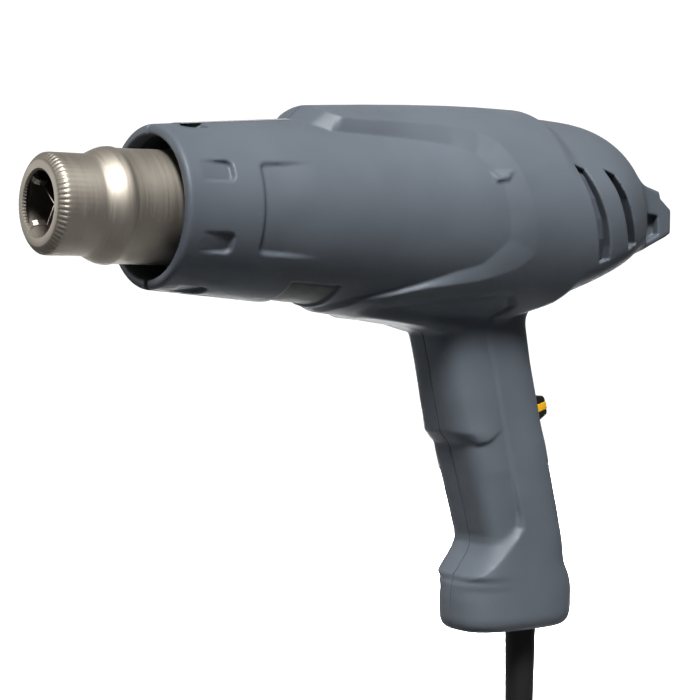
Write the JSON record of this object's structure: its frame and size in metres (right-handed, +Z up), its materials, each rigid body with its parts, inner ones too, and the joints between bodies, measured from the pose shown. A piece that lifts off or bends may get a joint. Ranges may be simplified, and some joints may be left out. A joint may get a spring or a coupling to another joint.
{
  "type": "heat gun",
  "caption": "Hand-held hot-air gun: stepped steel nozzle, tapered two-part plastic casing, angled pistol grip with a thumb slide switch, and a coiled mains lead.",
  "frame": {"origin": "middle of the hand grip, in the seam plane, 90 mm below the barrel axis", "axes": "+X along the barrel from the nozzle to the rear foot, +Y to the tool's right side, +Z up, square to the barrel"},
  "size_m": [0.265, 0.1898, 0.3195],
  "materials": {
    "casing_plastic": "fine moulded texture, satin slate blue-grey",
    "nozzle_steel": "satin turned stainless steel",
    "inner_steel": "plain sheet steel",
    "zinc_screw": "zinc plated",
    "label_film": "blank silver film",
    "mica": "amber mica sheet",
    "heater_ceramic": "unglazed",
    "heating_wire": "oxidised resistance wire",
    "white_nylon": "moulded, natural white",
    "black_plastic": "moulded, black",
    "magnet": "sintered ferrite",
    "copper": "copper winding",
    "board": "green solder mask",
    "capacitor_case": "yellow case",
    "wire_brown": "insulation",
    "wire_blue": "insulation",
    "wire_red": "insulation",
    "wire_white": "glass sleeve insulation",
    "sleeve_rubber": "moulded, satin",
    "cord_rubber": "rubber mains lead, matte",
    "tie_nylon": "black strap",
    "plug_rubber": "moulded",
    "pin_metal": "nickel plated"
  },
  "bodies": {
    "casing": {"housing_left": "casing_plastic", "housing_right": "casing_plastic", "intake_screen_left": "casing_plastic", "intake_screen_right": "casing_plastic", "nozzle_tube": "nozzle_steel", "outlet_guard": "nozzle_steel", "heat_shield": "inner_steel", "heater_flange": "inner_steel", "thermal_cutout": "inner_steel", "motor_can": "inner_steel", "housing_screw_1": "zinc_screw", "housing_screw_2": "zinc_screw", "housing_screw_3": "zinc_screw", "housing_screw_4": "zinc_screw", "housing_screw_5": "zinc_screw", "housing_screw_6": "zinc_screw", "housing_screw_7": "zinc_screw", "motor_screw_1": "zinc_screw", "motor_screw_2": "zinc_screw", "clamp_screw_1": "zinc_screw", "clamp_screw_2": "zinc_screw", "top_label": "label_film", "rating_label": "label_film", "mica_sleeve": "mica", "terminal_disc": "mica", "ceramic_core": "heater_ceramic", "heating_coil_1": "heating_wire", "heating_coil_2": "heating_wire", "heating_coil_3": "heating_wire", "heating_coil_4": "heating_wire", "fan_duct": "white_nylon", "motor_carrier": "white_nylon", "motor_end_cap": "black_plastic", "rectifier_bridge": "black_plastic", "switch_body": "black_plastic", "triac": "black_plastic", "cable_clamp": "black_plastic", "motor_magnet": "magnet", "choke": "copper", "rectifier_board": "board", "circuit_board": "board", "capacitor": "capacitor_case", "wire_live": "wire_brown", "wire_neutral": "wire_blue", "wire_motor": "wire_red", "wire_heater": "wire_white", "strain_relief": "sleeve_rubber", "cord_inner": "cord_rubber", "cord_lead": "cord_rubber", "cord_coil": "cord_rubber", "cord_tail": "cord_rubber", "cord_tie": "tie_nylon", "plug_body": "plug_rubber", "plug_pin_1": "pin_metal", "plug_pin_2": "pin_metal"},
    "rotor": {"motor_shaft": "inner_steel", "impeller": "white_nylon", "rotor_core": "copper", "commutator": "copper"},
    "slider": {"switch_slider": "black_plastic"}
  },
  "joints": [
    {"name": "fan_spin", "type": "hinge", "parent": "casing", "child": "rotor", "pos_m": [-0.025, 0, 0.09], "axis": [1, 0, 0], "continuous": true},
    {"name": "switch_slide", "type": "slide", "parent": "casing", "child": "slider", "axis": [-0.2471, 0, 0.969], "range_m": [0, 0.008]}
  ]
}
